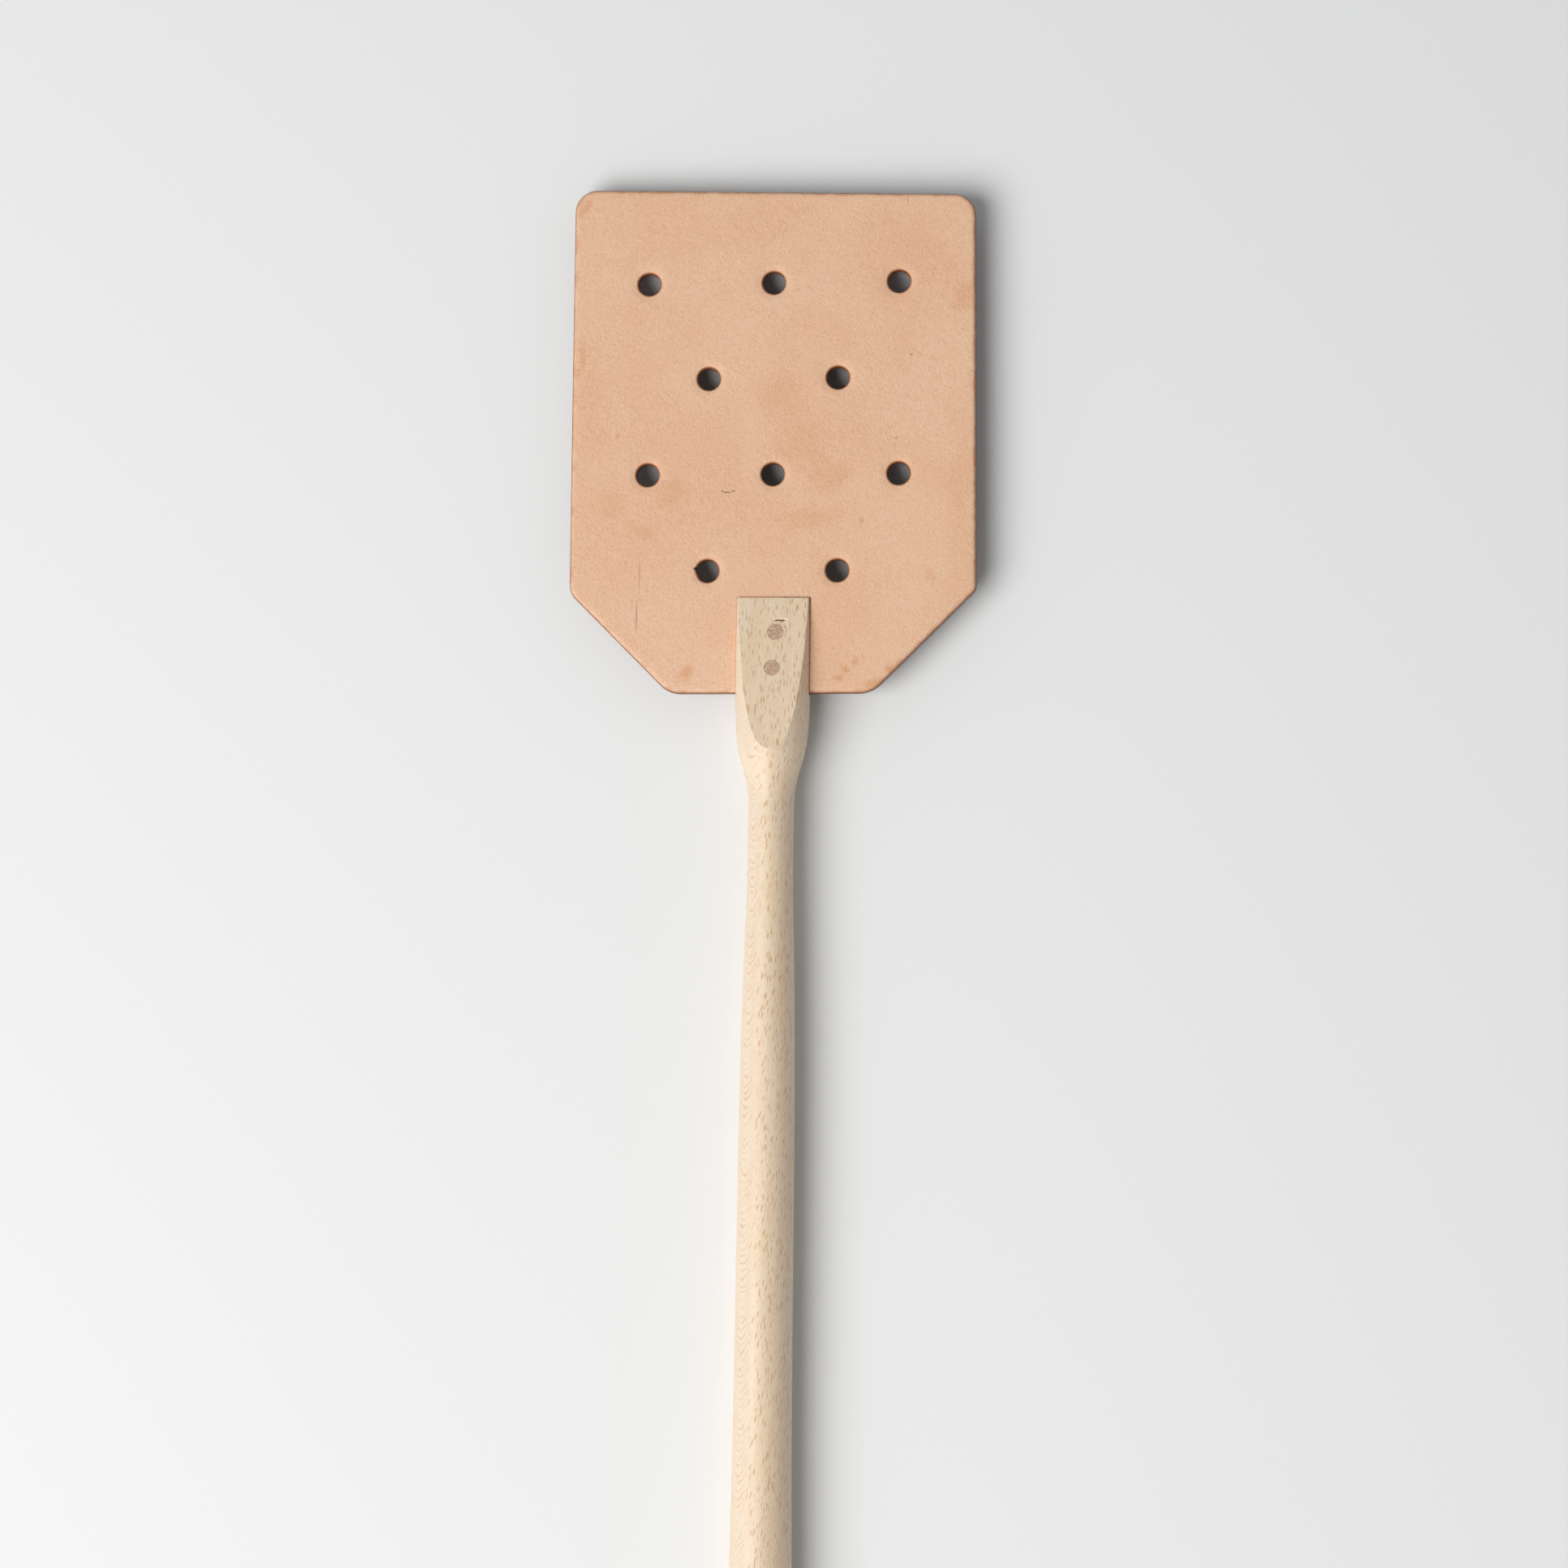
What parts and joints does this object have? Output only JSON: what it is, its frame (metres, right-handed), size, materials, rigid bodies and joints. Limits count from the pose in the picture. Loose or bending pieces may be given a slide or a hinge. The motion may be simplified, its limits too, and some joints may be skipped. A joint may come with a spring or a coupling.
{
  "type": "fly swatter",
  "caption": "Fly swatter: a perforated thick leather flap held in the sawn, pinned jaws of a turned wooden handle.",
  "frame": {"origin": "on the surface the swatter lies on, under the middle of its length and width", "axes": "+Y from the butt of the handle to the far edge of the flap, +Z normal to the leather, +X across the flap to the right"},
  "size_m": [0.1016, 0.445, 0.0164],
  "materials": {
    "beech_wood": "satin",
    "tan_leather": "matte",
    "dowel_wood": "matte"
  },
  "bodies": {
    "root": {"handle": "beech_wood", "leather_flap": "tan_leather", "dowel_pin_upper": "dowel_wood", "dowel_pin_lower": "dowel_wood"}
  },
  "joints": []
}
